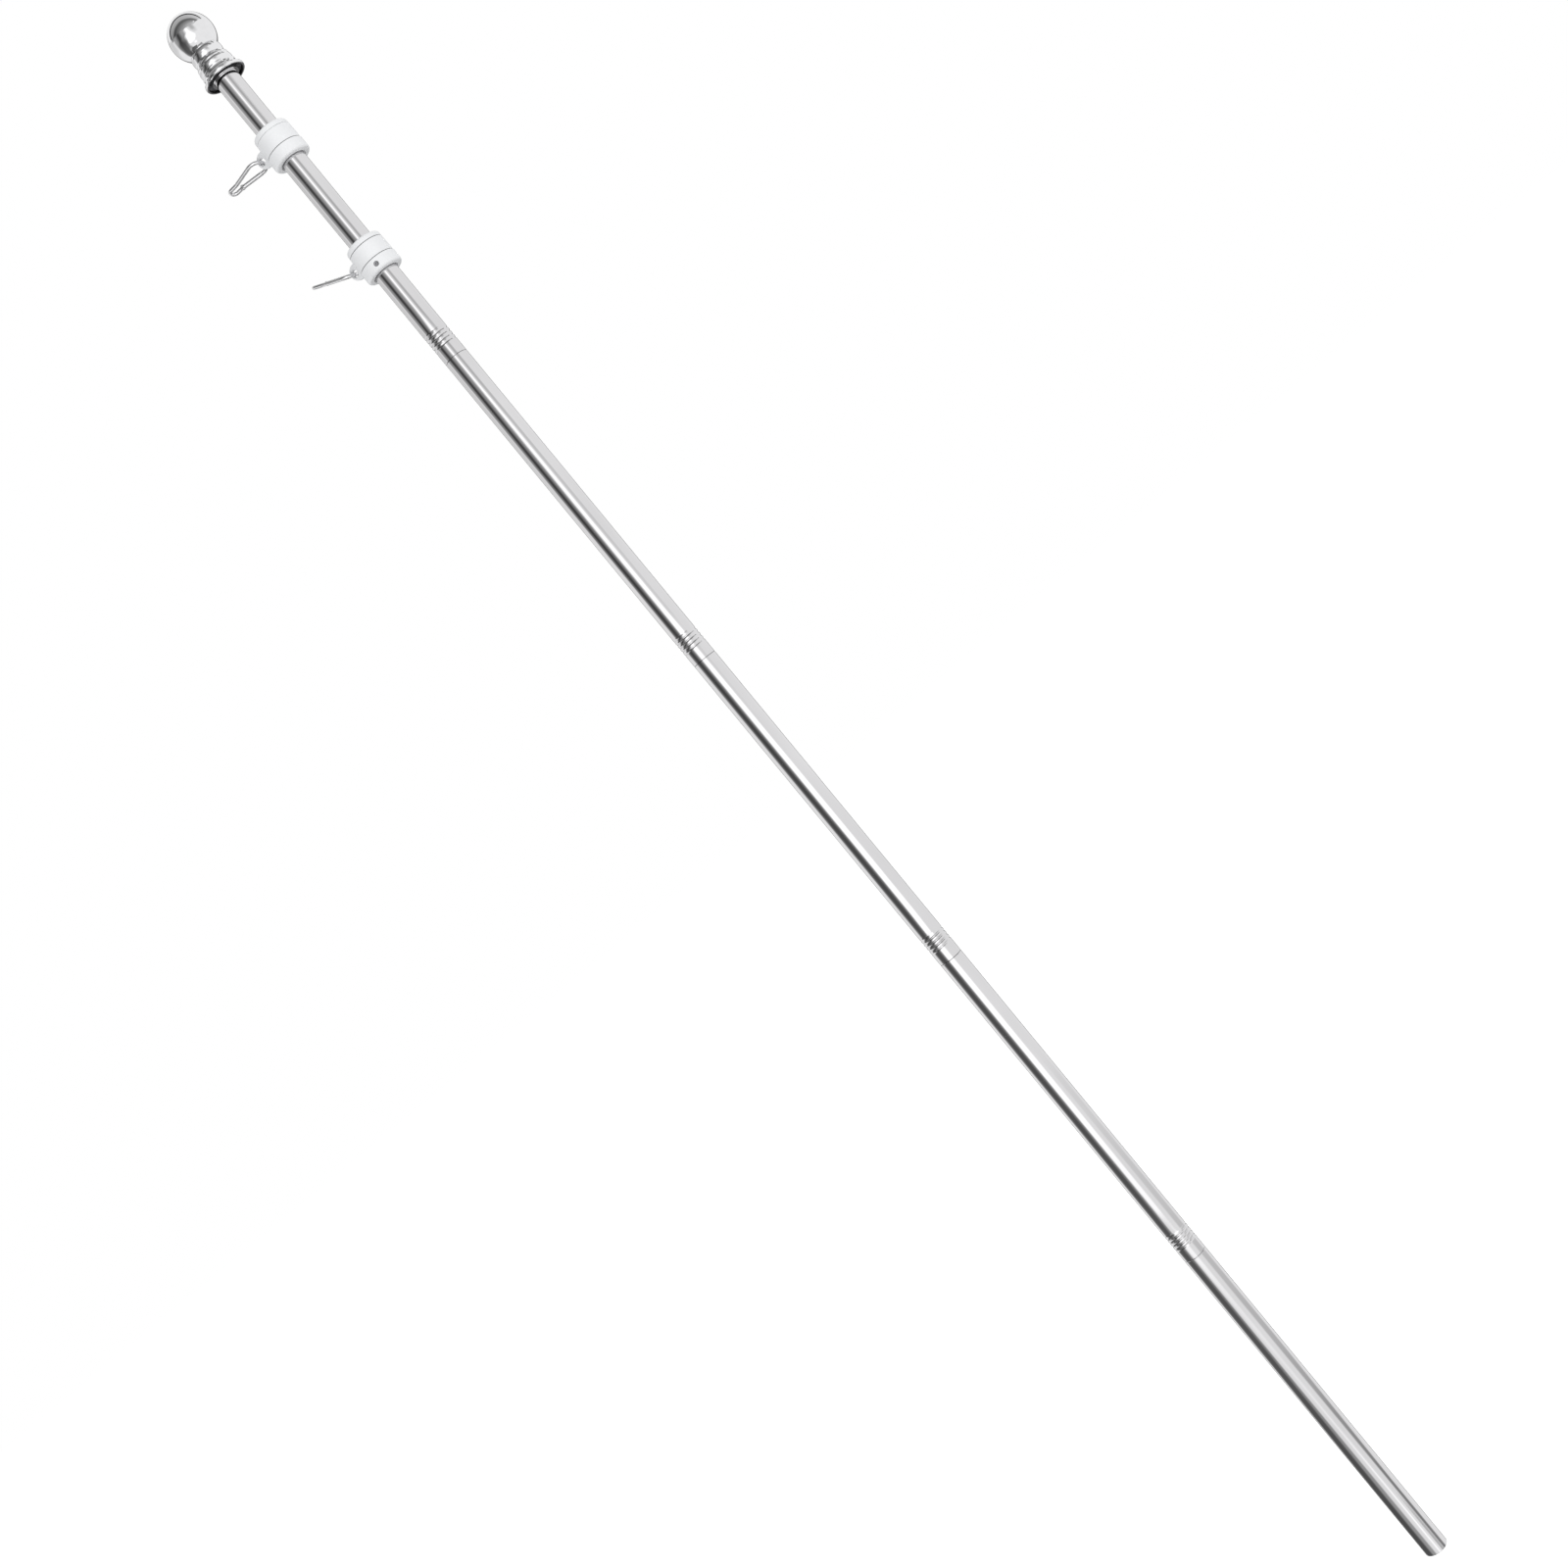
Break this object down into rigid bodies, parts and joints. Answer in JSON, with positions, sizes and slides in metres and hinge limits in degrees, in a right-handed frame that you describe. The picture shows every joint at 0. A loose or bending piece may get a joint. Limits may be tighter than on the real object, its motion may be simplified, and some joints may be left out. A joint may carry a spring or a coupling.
{
  "type": "flagpole",
  "caption": "Sectional steel flagpole with a polished ball finial and free-spinning rings that carry snap hooks for a flag.",
  "frame": {"origin": "centre of the flat end face of the foot", "axes": "+Z along the pole from the foot to the ball, the lugs and hooks reach towards -X"},
  "size_m": [0.0895, 0.0581, 1.8424],
  "materials": {
    "tubes": "polished",
    "finial": "polished",
    "rings": "satin",
    "hooks": "polished",
    "plug": "matte"
  },
  "bodies": {
    "pole": {"finial_ball": "finial", "finial_base": "finial", "top_tube": "tubes", "upper_tube": "tubes", "middle_tube": "tubes", "lower_tube": "tubes", "foot_tube": "tubes", "foot_plug": "plug", "upper_ring_collar": "rings", "upper_ring_cap": "rings", "lower_ring_collar": "rings", "lower_ring_cap": "rings"},
    "upper_swivel": {"upper_ring_swivel": "rings"},
    "upper_hook": {"upper_hook_wire": "hooks", "upper_hook_rivet": "hooks"},
    "upper_gate": {"upper_hook_gate": "hooks"},
    "lower_swivel": {"lower_ring_swivel": "rings"},
    "lower_hook": {"lower_hook_wire": "hooks", "lower_hook_rivet": "hooks"},
    "lower_gate": {"lower_hook_gate": "hooks"}
  },
  "joints": [
    {"name": "upper_ring_spin", "type": "hinge", "parent": "pole", "child": "upper_swivel", "pos_m": [0, 0, 1.69525], "axis": [0, 0, 1], "continuous": true},
    {"name": "upper_hook_swing", "type": "hinge", "parent": "upper_swivel", "child": "upper_hook", "pos_m": [-0.02347, 0.01095, 1.69525], "axis": [-0.4019, -0.8619, 0.309], "range_deg": [-85, 95]},
    {"name": "upper_gate_open", "type": "hinge", "parent": "upper_hook", "child": "upper_gate", "pos_m": [-0.05263, 0.02998, 1.69682], "axis": [-0.2091, -0.2422, -0.9474], "range_deg": [0, 22], "stiffness_Nm_per_rad": 0.02, "springref_deg": -28.65},
    {"name": "lower_ring_spin", "type": "hinge", "parent": "pole", "child": "lower_swivel", "pos_m": [0, 0, 1.56225], "axis": [0, 0, 1], "continuous": true},
    {"name": "lower_hook_swing", "type": "hinge", "parent": "lower_swivel", "child": "lower_hook", "pos_m": [-0.02287, 0.01216, 1.56225], "axis": [-0.4669, -0.8781, -0.1045], "range_deg": [-64, 116]},
    {"name": "lower_gate_open", "type": "hinge", "parent": "lower_hook", "child": "lower_gate", "pos_m": [-0.04911, 0.02905, 1.57777], "axis": [-0.343, 0.2888, -0.8939], "range_deg": [0, 22], "stiffness_Nm_per_rad": 0.02, "springref_deg": -28.65}
  ]
}
